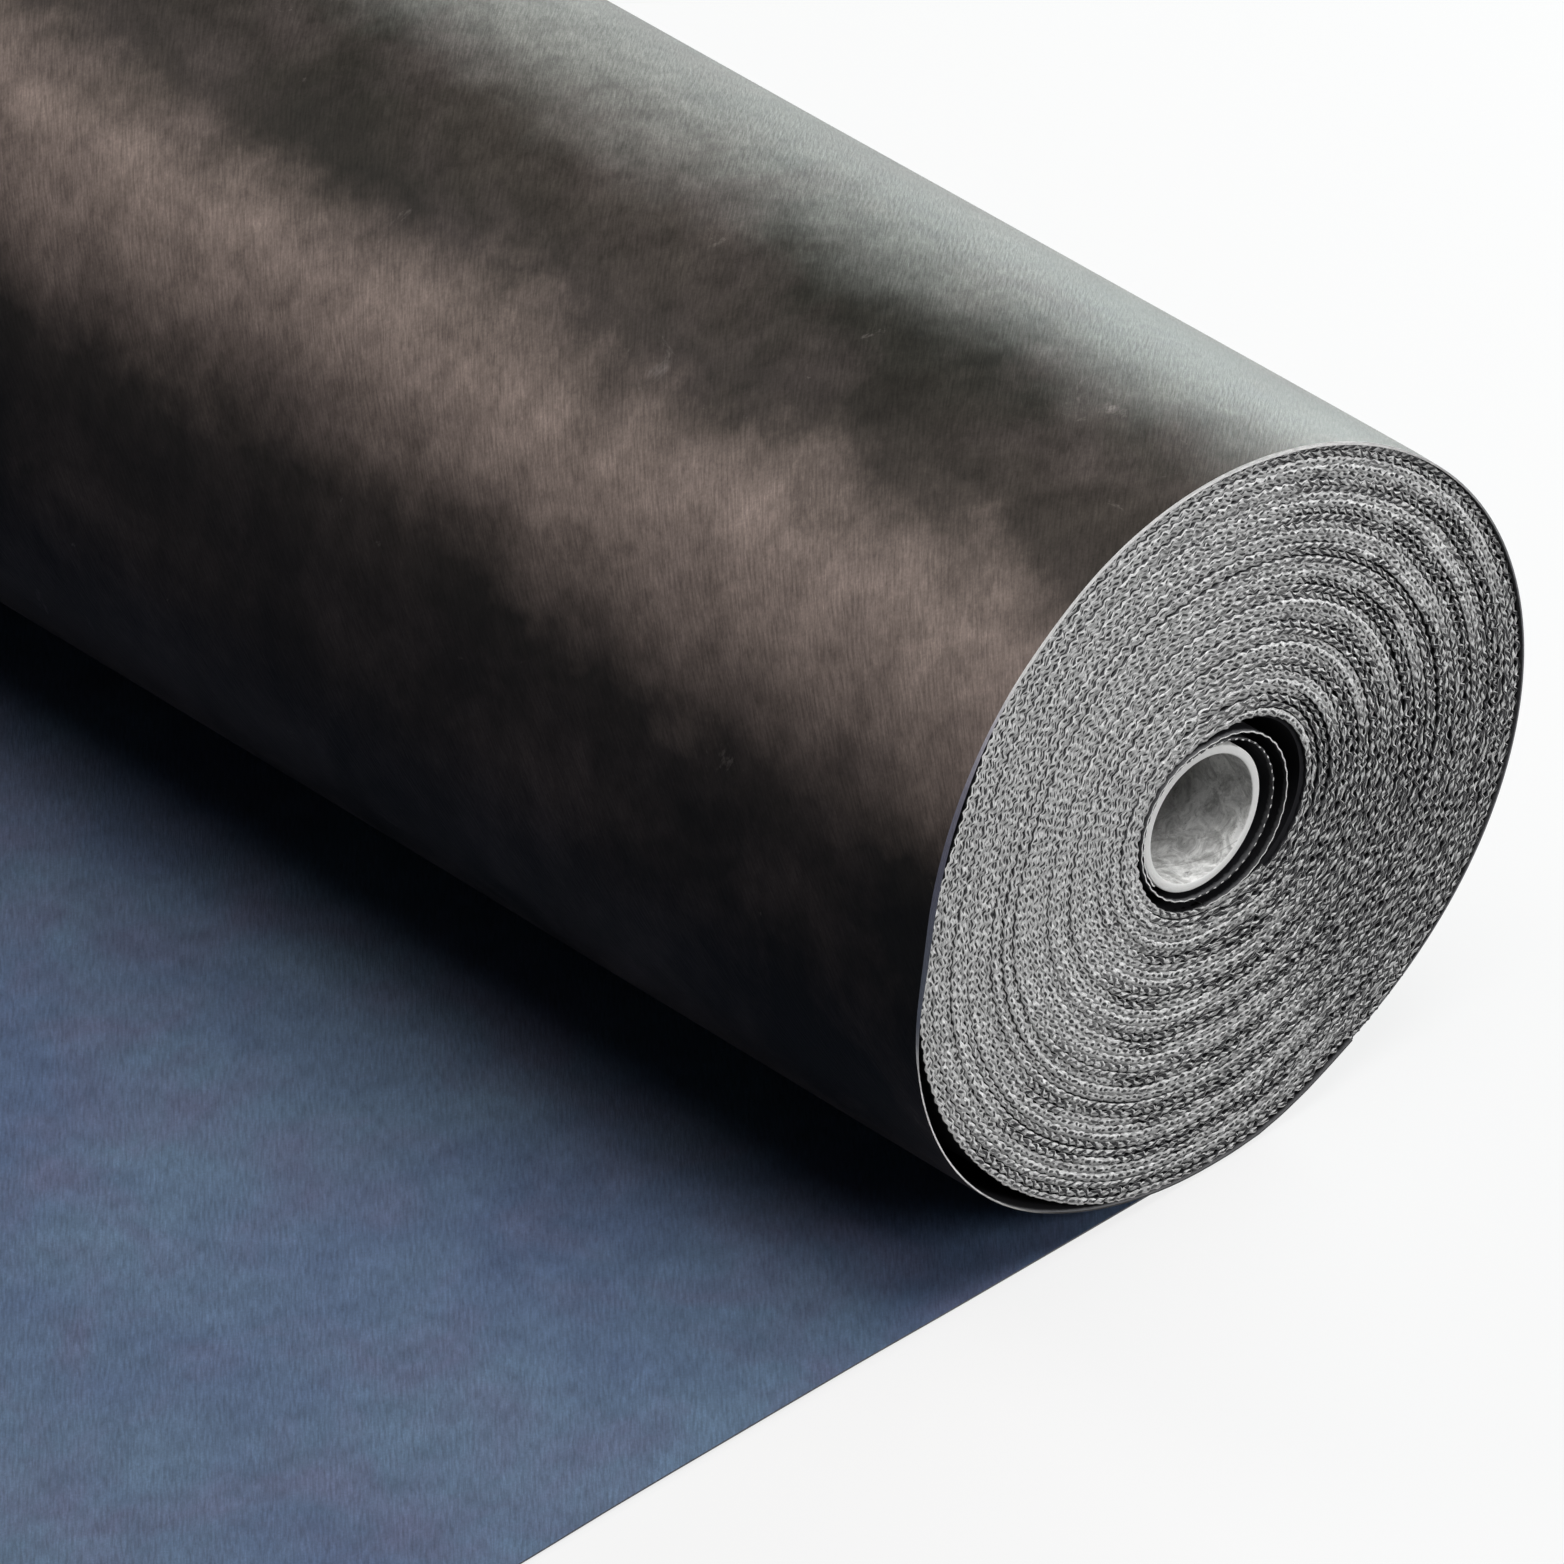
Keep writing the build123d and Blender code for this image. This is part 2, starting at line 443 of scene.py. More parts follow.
board = {
    "light": rgb(0.92, 0.92, 0.905),
    "dark": rgb(0.30, 0.298, 0.290),
    "speck": rgb(0.12, 0.115, 0.11),
    "rim": rgb(0.75, 0.75, 0.74),
    "fibreTurn": 0.7,
    "fibreScale": (260, 620, 1),
    "fibres": ((1.0, 5.0, 0.7), (0.32, 0.68)),  # noise and levels
    "fibreShare": 0.3,
    "blotches": ((150.0, 5.0, 0.72, 0.8), (0.38, 0.60)),
    "blotchShare": 0.7,
    "specks": ((330.0, 4.0, 0.75, 1.0), (0.60, 0.68)),
    "speckShare": 0.6,
    "darkens": (0.041, 0.022),  # painted shade darkens the bore between these depths
    "boreShadeTone": 0.12,
    "rimDepths": (0.0003, 0.0001),
    "rimFibres": 0.25,
    "seamPitch": 0.085,  # how far the board strip advances in one turn
    "seamWidth": 0.006,  # in turns
    "seamShare": 0.3,
    "relief": (0.0003, 0.6),
    "roughness": 0.85,
}


def boardMaterial(name):
    made, tree, shader, calc = newMaterial(name)
    web, place = onWeb(tree), inSpace(tree)
    fibres = addNode(tree, "ShaderNodeMapping", {
        "Vector": web, "Rotation": (0, 0, board["fibreTurn"]), "Scale": board["fibreScale"]})
    fine = marks(tree, fibres.outputs[0], board["fibres"])
    blotches = calc("*", marks(tree, place, board["blotches"]), board["blotchShare"])
    mixed = calc("*+", fine, board["fibreShare"], blotches)
    color = mixColors(tree, mixed, board["dark"], board["light"])
    specks = calc("*", marks(tree, place, board["specks"]), board["speckShare"])
    color = mixColors(tree, specks, color, board["speck"])

    # the spiral seam of the board strip
    length, y, _ = splitUp(tree, web)
    turned = calc("/", length, fullTurn * coreRadius)
    winds = calc("FRACT", calc("+", calc("/", y, board["seamPitch"]), turned))
    seam = calc("<", winds, board["seamWidth"])
    color = mixColors(tree, calc("*", seam, board["seamShare"]), color, board["speck"])

    # painted shade, darker in the depth of the bore; plain and pale on the rim
    fromMiddle = calc("ABSOLUTE", splitUp(tree, place)[1])
    deepest, first = [coreEndY - depth for depth in board["darkens"]]
    lit = spreadOut(tree, fromMiddle, deepest, first, board["boreShadeTone"], 1.0)
    color = mixColors(tree, lit, board["speck"], color)
    onRim = spreadOut(tree, fromMiddle, *[coreEndY - depth for depth in board["rimDepths"]])
    rim = mixColors(tree, calc("*", fine, board["rimFibres"]), board["rim"], board["light"])
    color = mixColors(tree, onRim, color, rim)
    height = calc("-", calc("*", fine, 0.5), calc("*", seam, 0.5))
    dress(tree, shader, board, color, height, board["roughness"])
    return made


outerFelt = feltMaterial("charcoal outer felt", feltOuter)
innerFelt = feltMaterial("slate inner felt", feltInner)
plyEdge = cutEdgeMaterial("wound ply edges", plyEdgeLook)
webEdge = cutEdgeMaterial("web cut edge", webEdgeLook)
looseEdge = cutEdgeMaterial("loose turns cut edge", looseEdgeLook)
paintedShadeFelt = innerWallMaterial("painted shade felt between the turns")
greyBoard = boardMaterial("grey core board")
print("materials ready")


# Helpers for meshes and paths. Paths are points (x, z), seen from the front end.

def newMesh(name, vertices, faces, materials, cornerUvs):
    mesh = bpy.data.meshes.new(name)
    mesh.from_pydata(vertices, [], faces)
    for material in materials:
        mesh.materials.append(material)
    layer = mesh.uv_layers.new(name="web")
    for corner, uv in zip(layer.data, cornerUvs):
        corner.uv = uv
    return mesh


def addPiece(name, mesh):
    # adds a closed mesh as a piece, with its faces turned outwards
    mesh.update()
    volume = 0.0
    for face in mesh.polygons:
        corners = [mesh.vertices[v].co for v in face.vertices]
        for b, c in zip(corners[1:], corners[2:]):
            volume += corners[0].dot(b.cross(c))
    if volume < 0:
        mesh.flip_normals()
    piece = bpy.data.objects.new(name, mesh)
    scene.collection.objects.link(piece)
    print(f"{name}: {sum(len(f.vertices) - 2 for f in mesh.polygons)} triangles")
    return piece


def eased(share):
    share = min(1.0, max(0.0, share))
    return share * share * (3 - 2 * share)


def interpolated(stops, at):
    for (low, first), (high, second) in zip(stops, stops[1:]):
        if at <= high:
            return first + (second - first) * max(0.0, (at - low) / (high - low))
    return stops[-1][1]


def around(x, z, radius, angle):
    return Vector((x + radius * cos(angle), z + radius * sin(angle)))


def aroundRoll(radius, angle):
    return around(rollX, rollZ, radius, angle)


def arcPoints(x, z, radius, start, end, step=2.0):
    # start, end and step are in degrees
    count = max(2, round(abs(end - start) / step))
    return [around(x, z, radius, radians(start + (end - start) * i / count))
            for i in range(count + 1)]


def pathLength(path):
    return sum((b - a).length for a, b in zip(path, path[1:]))


def evenly(points, step):
    # the same line with its points a step apart
    lengths = [(b - a).length for a, b in zip(points, points[1:])]
    total = sum(lengths)
    count = round(total / step)
    found, start, i = [], 0.0, 0
    for n in range(count + 1):
        want = total * n / count
        while i < len(lengths) - 1 and start + lengths[i] < want:
            start += lengths[i]
            i += 1
        share = (want - start) / lengths[i] if lengths[i] > 0 else 0.0
        found.append(points[i].lerp(points[i + 1], min(1.0, max(0.0, share))))
    return found


# The winding isn't quite round: it has four flats and one slight bulge

winding = {
    "radius": rollRadius + 0.0035,  # before the flats are taken off
    # angle in degrees, how far it stands out, and half width in degrees
    "flats": [(58, -0.0088, 38), (153, -0.0079, 21), (157, -0.0026, 10), (247, 0.001, 7),
              (297, -0.0082, 30)],
    "rimPly": 0.0011,  # the middle of the outermost ply lies this far inside the rim
    "recess": 0.003,  # how far the ply edges stand out from the dark middle
    "wallClearance": 0.0004,
    "sides": 240,
    "endRings": (0.004, 0.06),  # rings of the mesh lie this far inside its two ends
}


def windingRadius(angle):
    depth = 0.0
    for middle, amount, halfWidth in winding["flats"]:
        tight = 1 / radians(halfWidth) ** 2
        depth += amount * exp(tight * (cos(angle - radians(middle)) - 1))
    return winding["radius"] + depth


# The outer web: the laid length, the outermost turn with its slack, and its tucked end

outerWeb = {
    "laidLength": rollX - membraneLow.x,
    "hugRise": 24,  # it comes to lie against the winding within so many degrees
    "hugFall": 20,  # and leaves it within so many, up to this angle
    "hugEnd": 135,
    "slackStart": 169.5,
    "slackStraight": 0.028,
    "slackUpperSweep": 69,
    "slackUpperRadius": 0.117,
    "tuckDepth": 0.001,  # the tucked end lies this much inside the laid length
    "tuckEnd": 295,  # here it goes on as the winding's outermost ply
    "along": 0.005,  # mesh size along and across
    "across": 0.0112,
    "slowWaves": (6.5, 4.2, 3.1),  # how close they lie along and across the web, and the seed
    "quickWaves": (17.0, 11.0, 8.4),
    "laidWave": (0.0016, 0.5, 0.25),  # height, middle, and share of the quick waves
    "laidFlat": (0.03, 0.15),  # it lies flat so far from the roll, then waves grow so far
    "rollWave": (0.0005, 0.0, 0.3),
    "rollFlat": (0.12, 0.1),
    # length of web and the share of its thickness at the cut edge, which frays on the roll's top;
    # on the left the edge is widened and, painted in shade, fills the shaded gap beside the plies
    "rim": [(0.0, 0.6), (1.15, 0.6), (1.23, 2.0), (1.385, 2.0), (1.41, 3.6), (1.45, 4.6),
            (1.48, 3.6), (1.52, 0.5), (3.0, 0.45)],
    "setbackAtRoll": 0.53,  # by the roll the laid edge is drawn back by only this share
    "setbackRun": 0.30,  # and wholly from so far away
    "sharpAngle": radians(50),  # the cut edge stays crisp
}


def outerWebPath():
    middleRadius = rollRadius - webThickness / 2
    laidEnd = aroundRoll(middleRadius, radians(-90))
    path = [laidEnd - Vector((outerWeb["laidLength"], 0)), laidEnd]
    leave = outerWeb["slackStart"]
    for degrees in range(-88, int(leave), 2):
        angle = radians(degrees)
        hugging = windingRadius(angle) + webThickness * 0.5
        near = min(eased((degrees + 90) / outerWeb["hugRise"]),
                   eased((outerWeb["hugEnd"] - degrees) / outerWeb["hugFall"]))
        path.append(aroundRoll(middleRadius + (hugging - middleRadius) * near, angle))

    # off the roll, straight at first and then over two arcs down to the floor
    leaveAngle = radians(leave)
    outwards = around(0, 0, 1, leaveAngle)
    straight = Vector((-outwards.y, outwards.x)) * outerWeb["slackStraight"]
    hanging = aroundRoll(middleRadius, leaveAngle) + straight
    upperRadius, turned = outerWeb["slackUpperRadius"], leave + outerWeb["slackUpperSweep"]
    upperCenter = hanging - outwards * upperRadius
    path += arcPoints(*upperCenter, upperRadius, leave, turned)
    restZ = rollZ - middleRadius + outerWeb["tuckDepth"]
    lowerRadius = (path[-1].y - restZ) / (1 + sin(radians(turned)))
    lowerCenter = path[-1] + (upperCenter - path[-1]).normalized() * lowerRadius
    path += arcPoints(*lowerCenter, lowerRadius, turned, 270)[1:]

    # tucked in under the roll, where it becomes the winding's outermost ply
    tuckEnd = outerWeb["tuckEnd"]
    restRadius = rollZ - restZ
    endRadius = windingRadius(radians(tuckEnd)) - winding["rimPly"]
    for degrees in range(270, tuckEnd + 1, 5):
        tucked = eased((degrees - 270) / (tuckEnd - 270))
        radius = restRadius + (endRadius - restRadius) * tucked
        path.append(aroundRoll(radius, radians(degrees)))
    return path


def webShell(name, path, shares, ends, bend, materials, thickness=webThickness, woundFrom=inf,
             rim=None):
    # a web of two faces and its cut rim, along a path
    # ends gives where it starts and stops in y, and bend how far it leaves the path
    # rim gives the share of the thickness at the cut edge, by length of web
    # from the distance woundFrom on, the inner face lies against the winding, in the last material
    rows, columns = len(path), len(shares)
    count = rows * columns
    distance = 0.0
    outerSide, innerSide, uvs = [], [], []
    for i, point in enumerate(path):
        before, after = path[max(0, i - 1)], path[min(rows - 1, i + 1)]
        travel = (after - before).normalized()
        outwards = Vector((travel.y, -travel.x))
        if i:
            distance += (point - path[i - 1]).length
        low, high = ends(point, distance)
        for share in shares:
            y = low + (high - low) * share
            moved = point + outwards * bend(point, y, distance)
            outer, inner = outwards * (thickness / 2), outwards * (thickness / 2)
            if rim and share in (shares[0], shares[-1]):
                frayed = interpolated(rim, distance)
                outer, inner = outer * min(1.0, frayed), inner * frayed  # it frays inwards only
            p, q = moved + outer, moved - inner
            outerSide.append((p.x, y, p.y))
            innerSide.append((q.x, y, q.y))
            uvs.append((distance, y))

    faces, kinds = [], []  # kinds: 0 outer face, 1 inner face, 2 cut rim, 3 inner face when wound
    for i in range(rows - 1):
        for j in range(columns - 1):
            a = i * columns + j
            b, c, d = a + 1, a + 1 + columns, a + columns
            faces.append((a, b, c, d))
            faces.append((a + count, d + count, c + count, b + count))
            kinds += [0, 3 if uvs[a][0] > woundFrom else 1]
    lastRow, lastColumn = (rows - 1) * columns, columns - 1
    cut = [(i * columns, (i + 1) * columns) for i in range(rows - 1)]
    cut += [(lastRow + j, lastRow + j + 1) for j in range(columns - 1)]
    cut += [((i + 1) * columns + lastColumn, i * columns + lastColumn) for i in range(rows - 1)]
    cut += [(j + 1, j) for j in range(columns - 1)]
    faces += [(a, b, b + count, a + count) for a, b in cut]
    kinds += [2] * len(cut)

    cornerUvs = [uvs[v % count] for face in faces for v in face]
    mesh = newMesh(name, outerSide + innerSide, faces, materials, cornerUvs)
    mesh.polygons.foreach_set("material_index", kinds)
    mesh.polygons.foreach_set("use_smooth", [kind != 2 for kind in kinds])
    mesh.set_sharp_from_angle(angle=outerWeb["sharpAngle"])
    return addPiece(name, mesh)


def makeOuterWeb():
    path = evenly(outerWebPath(), outerWeb["along"])
    columns = round(2 * endY / outerWeb["across"])
    laidLength = outerWeb["laidLength"]

    def ends(point, distance):
        # the laid edges slant to the roll's ends on the way up its right side
        atRoll = outerWeb["setbackAtRoll"]
        if distance > laidLength + rollRadius * pi / 2:
            share = 0.0
        elif point.x > rollX:
            share = atRoll * max(0.0, 1 - (point.x - rollX) / rollRadius)
        else:
            away = min(1.0, (rollX - point.x) / outerWeb["setbackRun"])
            share = atRoll + (1 - atRoll) * away
        return -endY + laidSetback * share, endY + laidSetback * share

    def bend(point, y, distance):
        slow, quick = [noise.noise(Vector((distance * along, y * across, seed)))
                       for along, across, seed in (outerWeb["slowWaves"], outerWeb["quickWaves"])]
        if distance < laidLength:
            flat, grows = outerWeb["laidFlat"]
            height, middle, quickShare = outerWeb["laidWave"]
            laid = eased((rollX - flat - point.x) / grows)
            return -laid * height * max(0.0, middle + slow + quickShare * quick)
        flat, grows = outerWeb["rollFlat"]
        height, middle, quickShare = outerWeb["rollWave"]
        climbed = eased((distance - laidLength - flat) / grows)
        return climbed * height * (middle + slow + quickShare * quick)

    shares = [j / columns for j in range(columns + 1)]
    woundFrom = laidLength + rollRadius * radians(outerWeb["hugRise"])
    # the inner face that lies against the winding takes the painted shade felt
    return webShell("outer_web", path, shares, ends, bend,
                    (outerFelt, innerFelt, webEdge, paintedShadeFelt), woundFrom=woundFrom,
                    rim=outerWeb["rim"]), path


# The two loose turns beside the core end in the web's free edge, which hooks round below the core

looseTurns = {
    "tops": (0.0294, 0.0304),  # from the core's middle, of the inner turn and the next
    "reaches": (0.0342, 0.0410),
    "bottoms": (-0.0317, -0.0375),
    "freeEdgeAngle": 213,
    "thickness": 0.0005,
    "along": 0.0013,
    "fineLength": 0.055,  # mesh near both ends is fine enough for the embossing
    "fineStep": 0.0014,
    "coarseStep": 0.03,
    "embossFade": 0.01,
    "arcStep": 3.0,  # degrees
    "samePoint": 1e-6,
}


def halfTurn(side, reach, top, bottom):
    # counterclockwise half of a turn, on the right (side 1) or left (side -1) of the core
    radius = (top - bottom) / 2
    start, end = (-90, 90) if side > 0 else (90, 270)
    return arcPoints(side * (reach - radius), (top + bottom) / 2, radius, start, end,
                     looseTurns["arcStep"])


def looseTurnsPath():
    tops, reaches, bottoms = looseTurns["tops"], looseTurns["reaches"], looseTurns["bottoms"]
    points = [Vector((0.0, bottoms[1]))]
    points += halfTurn(1, reaches[1], tops[1], bottoms[1])
    points += halfTurn(-1, tops[1], tops[1], bottoms[0])
    points += halfTurn(1, reaches[0], tops[0], bottoms[0])
    points += arcPoints(0.0, 0.0, tops[0], 90, looseTurns["freeEdgeAngle"], looseTurns["arcStep"])
    apart = [p for p, q in zip(points, points[1:]) if (q - p).length > looseTurns["samePoint"]]
    return apart + [points[-1]]


def looseTurnsShares(width):
    # steps across the web, fine near both ends and coarse between
    fineLength, fineStep = looseTurns["fineLength"], looseTurns["fineStep"]
    fine = [i * fineStep / width for i in range(round(fineLength / fineStep) + 1)]
    middle = round((width - 2 * fineLength) / looseTurns["coarseStep"])
    start, end = fine[-1], 1 - fine[-1]
    coarse = [start + (end - start) * i / middle for i in range(1, middle)]
    return fine + coarse + [1 - share for share in reversed(fine)]


def makeLooseTurns():
    path = evenly(looseTurnsPath(), looseTurns["along"])

    def bend(point, y, distance):
        near = (abs(y) - endY + looseTurns["fineLength"]) / looseTurns["embossFade"]
        wave = fullTurn / embossing["length"]
        rows = cos(wave * distance) * cos(wave * (endY - abs(y)))
        return min(1.0, max(0.0, near)) * embossing["height"] * rows

    def ends(point, distance):
        return -endY, endY

    # both faces of the loose turns are painted in shade
    return webShell("loose_inner_turns", path, looseTurnsShares(2 * endY), ends, bend,
                    (paintedShadeFelt, paintedShadeFelt, looseEdge), thickness=looseTurns["thickness"]), path


# Dark middle of the winding, a body painted in shade behind the ply edges, with the opening that
# holds the core

opening = {
    "x": -0.00185,  # from the middle of the roll
    "z": 0.00125,
    "halfHeight": 0.03435,
    "flatHalf": 0.006,  # the opening is wider than it is high
    "roundness": 0.05,
}


def openingPoint(angle, grow):
    across, up = cos(angle), sin(angle)
    flat = opening["flatHalf"] * across / sqrt(across * across + opening["roundness"])
    radius = opening["halfHeight"] + grow
    return Vector((rollX + opening["x"] + radius * across + flat,
                   rollZ + opening["z"] + radius * up))


def makeWindingBody():
    count, clearance = winding["sides"], winding["wallClearance"]
    front, back = -endY + winding["recess"], endY - winding["recess"]
    near, far = winding["endRings"]
    stations = [front, front + near, front + far, 0.0, back - far, back - near, back]
    angles = [fullTurn * i / count for i in range(count)]
    outline = [aroundRoll(windingRadius(angle) - clearance, angle) for angle in angles]
    bore = [openingPoint(angle, clearance) for angle in angles]
    vertices, uvs = [], []
    for points, radius in ((outline, rollRadius), (bore, opening["halfHeight"])):
        for y in stations:
            vertices += [(p.x, y, p.y) for p in points]
            uvs += [(angle * radius, y) for angle in angles]
    faces = []
    ring = len(stations) * count
    for k in range(len(stations) - 1):
        for i in range(count):
            a, b = k * count + i, k * count + (i + 1) % count
            faces.append((a, b, b + count, a + count))
            faces.append((a + ring, a + count + ring, b + count + ring, b + ring))
    last = (len(stations) - 1) * count
    for i in range(count):
        a, b = i, (i + 1) % count
        faces.append((a, a + ring, b + ring, b))
        faces.append((a + last, b + last, b + last + ring, a + last + ring))
    cornerUvs = [uvs[v] for face in faces for v in face]
    return addPiece("winding_body", newMesh("winding_body", vertices, faces, [paintedShadeFelt], cornerUvs))


# Ply edges on the roll's ends: one spiral of embossed web, which a Geometry Nodes tree winds

plies = {
    "Turns": 38.0,
    "Outer radius": winding["radius"] - winding["rimPly"],
    "Start angle": radians(outerWeb["tuckEnd"] - 360),
    "Inner half height": opening["halfHeight"] + 0.0012,
    "Opening flat": opening["flatHalf"],
    "Opening x": opening["x"],
    "Opening z": opening["z"],
    "Emboss length": embossing["length"],
    "Points in a wave": 5.0,
    "Tight half ply": 0.00150,  # tight turns fill out, and their waves are low
    "Loose half ply": 0.00078,
    "Tight wave": 0.00030,
    "Loose wave": 0.00105,
    "Calm turns": 4.0,  # the turns next to the opening lie smoother
    "Loosest angle": radians(-30),
    "Rings in a band": 5.0,  # tight and loose turns take it in turns
    "Ring step": 0.0008,  # some turns stand back from the end
    "Tilt": 0.0007,
    "Depth": 0.0042,
    "End y": -endY,
    "Inwards": 1.0,
}
plyWinding = {
    "flatFade": 1.6,  # powers with which the flats and the step fade towards the middle
    "stepFade": 4.0,
    "stepFrom": 0.93,  # in the last of each turn the outermost turns step in
}
plySlack = {
    "patches": ((30.0, 2.0, 0.6, 0.4), (0.36, 0.64)),  # noise and levels
    "patchShare": 0.25,
    "bandLean": 1.6,  # bands shift round the roll, and with the patches
    "bandPatch": 1.8,
    "bandLevels": (-0.5, 0.7),
    "bandSlack": (1.1, 0.12),
    "looseSide": (0.55, 0.95),  # levels of how far to the loosest side
    "looseSideSlack": 0.8,
    "least": 0.02,
    "ringLevels": (0.62, 0.72),  # here and there a turn stands apart, thinner and calmer
    "ringThinner": 0.0002,
    "ringCalmer": -0.5,
    "calmest": 0.3,
}
plyWaves = {
    "lengthPace": 0.045,  # how quickly the waves' length and height change
    "lengthSpread": (1.1, 0.3),  # more on the loosest side, and at least
    "heightPace": 0.19,
    "heights": (0.6, 1.2),
    "heightSeed": 40.0,
    "ringLevels": (0.35, 0.65),
    "swingLag": 0.9,
    "leastBack": 0.0005,
}


def newGeometryTree(name, sizes):
    tree = bpy.data.node_groups.new(name, "GeometryNodeTree")
    tree.interface.new_socket("Geometry", in_out="OUTPUT", socket_type="NodeSocketGeometry")
    for label, value in sizes.items():
        socket = tree.interface.new_socket(label, in_out="INPUT", socket_type="NodeSocketFloat")
        socket.default_value = value
    return tree, tree.nodes.new("NodeGroupInput").outputs


def flatsInTree(calc, angle):
    # the winding's flats again, for the spiral
    depth = 0.0
    for middle, amount, halfWidth in winding["flats"]:
        tight = 1 / radians(halfWidth) ** 2
        away = calc("COSINE", calc("-", angle, radians(middle)))
        away = calc("EXPONENT", calc("*", calc("-", away, 1.0), tight))
        depth = calc("+", depth, calc("*", away, amount))
    return depth


def slackInTree(tree, calc, size, spot, turns, angle):
    # how loosely the turns lie, in patches and bands, and more so on the right
    patch = marks(tree, joinUp(tree, *spot), plySlack["patches"], -0.5, 0.5)
    towards = calc("COSINE", calc("-", angle, size["Loosest angle"]))
    facing = calc("*+", towards, 0.5, 0.5)
    lean = plySlack["bandLean"]
    bands = calc("/", calc("*", turns, fullTurn), size["Rings in a band"])
    bands = calc("+", bands, calc("*+", calc("COSINE", angle), lean, lean),
                 calc("*", patch, plySlack["bandPatch"]))
    bands = spreadOut(tree, calc("COSINE", bands), *plySlack["bandLevels"], *plySlack["bandSlack"])
    looseSide = spreadOut(tree, towards, *plySlack["looseSide"])
    bands = calc("MAXIMUM", bands, calc("*", looseSide, plySlack["looseSideSlack"]))
    loose = calc("*+", facing, bands, calc("*", patch, plySlack["patchShare"]))
    kept = addNode(tree, "ShaderNodeClamp", {"Value": loose, "Min": plySlack["least"], "Max": 1.0})
    return kept.outputs[0], looseSide


def plyTree():
    tree, size = newGeometryTree("wound ply edges", plies)
    calc = calcIn(tree)
    outer, inner = size["Outer radius"], size["Inner half height"]
    length = calc("*", calc("+", outer, inner), pi, size["Turns"])
    count = calc("*", calc("/", length, size["Emboss length"]), size["Points in a wave"])
    count = calc("ROUND", count)

    # a straight strip, whose stations have four corners: 0 and 1 outside, 1 and 2 in front
    line = addNode(tree, "GeometryNodeCurvePrimitiveLine")
    spine = addNode(tree, "GeometryNodeResampleCurve", {
        "Curve": line.outputs[0], "Count": count}, mode="COUNT")
    profile = addNode(tree, "GeometryNodeCurvePrimitiveQuadrilateral", {
        "Width": 0.001, "Height": 0.001})
    strip = addNode(tree, "GeometryNodeCurveToMesh", {
        "Curve": spine.outputs[0], "Profile Curve": profile.outputs[0], "Fill Caps": True})
    index = addNode(tree, "GeometryNodeInputIndex").outputs[0]
    along = calc("FLOOR", calc("/", calc("+", index, 0.25), 4.0))
    corner = calc("-", index, calc("*", along, 4.0))
    atFront = calc("<", calc("ABSOLUTE", calc("-", corner, 1.5)), 1.0)
    outside = calc("-", calc("*", calc("<", corner, 1.5), 2.0), 1.0)

    # equal steps of length along the spiral
    share = calc("/", along, calc("-", count, 1.0))
    spread = calc("-", calc("*", outer, outer), calc("*", inner, inner))
    radius = calc("-", calc("*", outer, outer), calc("*", share, spread))
    radius = calc("SQRT", radius)
    room = calc("-", outer, inner)
    inShare = calc("/", calc("-", outer, radius), room)
    outShare = calc("-", 1.0, inShare)
    turns = calc("*", inShare, size["Turns"])
    angle = calc("+", calc("*", turns, fullTurn), size["Start angle"])
    cosine, sine = calc("COSINE", angle), calc("SINE", angle)

    # flats fade towards the middle, and the opening's flattened round fades towards the rim
    fade = calc("POWER", outShare, plyWinding["flatFade"])
    depth = calc("*", flatsInTree(calc, angle), fade)
    flatSide = calc("SQRT", calc("+", calc("*", cosine, cosine), opening["roundness"]))
    flatSide = calc("/", cosine, flatSide)
    flat = calc("*", size["Opening flat"], inShare, flatSide)

    # the outermost turns keep to the rim, and step in under the place where the spiral starts
    pitch = calc("/", room, size["Turns"])
    part = calc("FRACT", turns)
    dive = addNode(tree, "ShaderNodeMapRange", {
        "Value": part, "From Min": plyWinding["stepFrom"], "From Max": 1.0, "To Min": 1.0,
        "To Max": 0.0}, interpolation_type="SMOOTHSTEP").outputs["Result"]
    step = calc("*", part, dive, pitch, calc("POWER", outShare, plyWinding["stepFade"]))
    depth = calc("+", depth, step)

    spot = calc("*", radius, cosine), calc("*", radius, sine)
    loose, looseSide = slackInTree(tree, calc, size, spot, turns, angle)
    ring = lineNoise(tree, turns)
    ringGap = spreadOut(tree, ring, *plySlack["ringLevels"])

    def between(tight, slack):
        return calc("*+", loose, calc("-", size[slack], size[tight]), size[tight])

    halfPly = calc("-", between("Tight half ply", "Loose half ply"),
                   calc("*", ringGap, plySlack["ringThinner"]))
    height = calc("*", between("Tight wave", "Loose wave"),
                  calc("*+", ringGap, plySlack["ringCalmer"], 1.0))
    left = calc("/", calc("-", size["Turns"], turns), size["Calm turns"])
    height = calc("*", height, spreadOut(tree, left, 0.0, 1.0, plySlack["calmest"], 1.0))

    # the embossing's waves, of uneven length and height
    def wander(pace, low, high, seed):
        found = lineNoise(tree, calc("*+", along, pace, seed))
        return spreadOut(tree, found, *noiseSpan, low, high)

    # neighbouring turns in a band have as many waves as each other, which lie side by side
    group = calc("+", calc("FLOOR", calc("/", turns, size["Rings in a band"])), 0.5)
    groupRadius = calc("-", outer, calc("*", group, size["Rings in a band"], pitch))
    wavesInTurn = calc("/", calc("*", groupRadius, fullTurn), size["Emboss length"])
    wavesInTurn = calc("ROUND", wavesInTurn)
    uneven = calc("*", wander(plyWaves["lengthPace"], 0.0, 1.0, 0.0),
                  calc("*+", looseSide, *plyWaves["lengthSpread"]))
    waves = calc("+", calc("*", turns, wavesInTurn), uneven)
    phase = calc("*", waves, fullTurn)

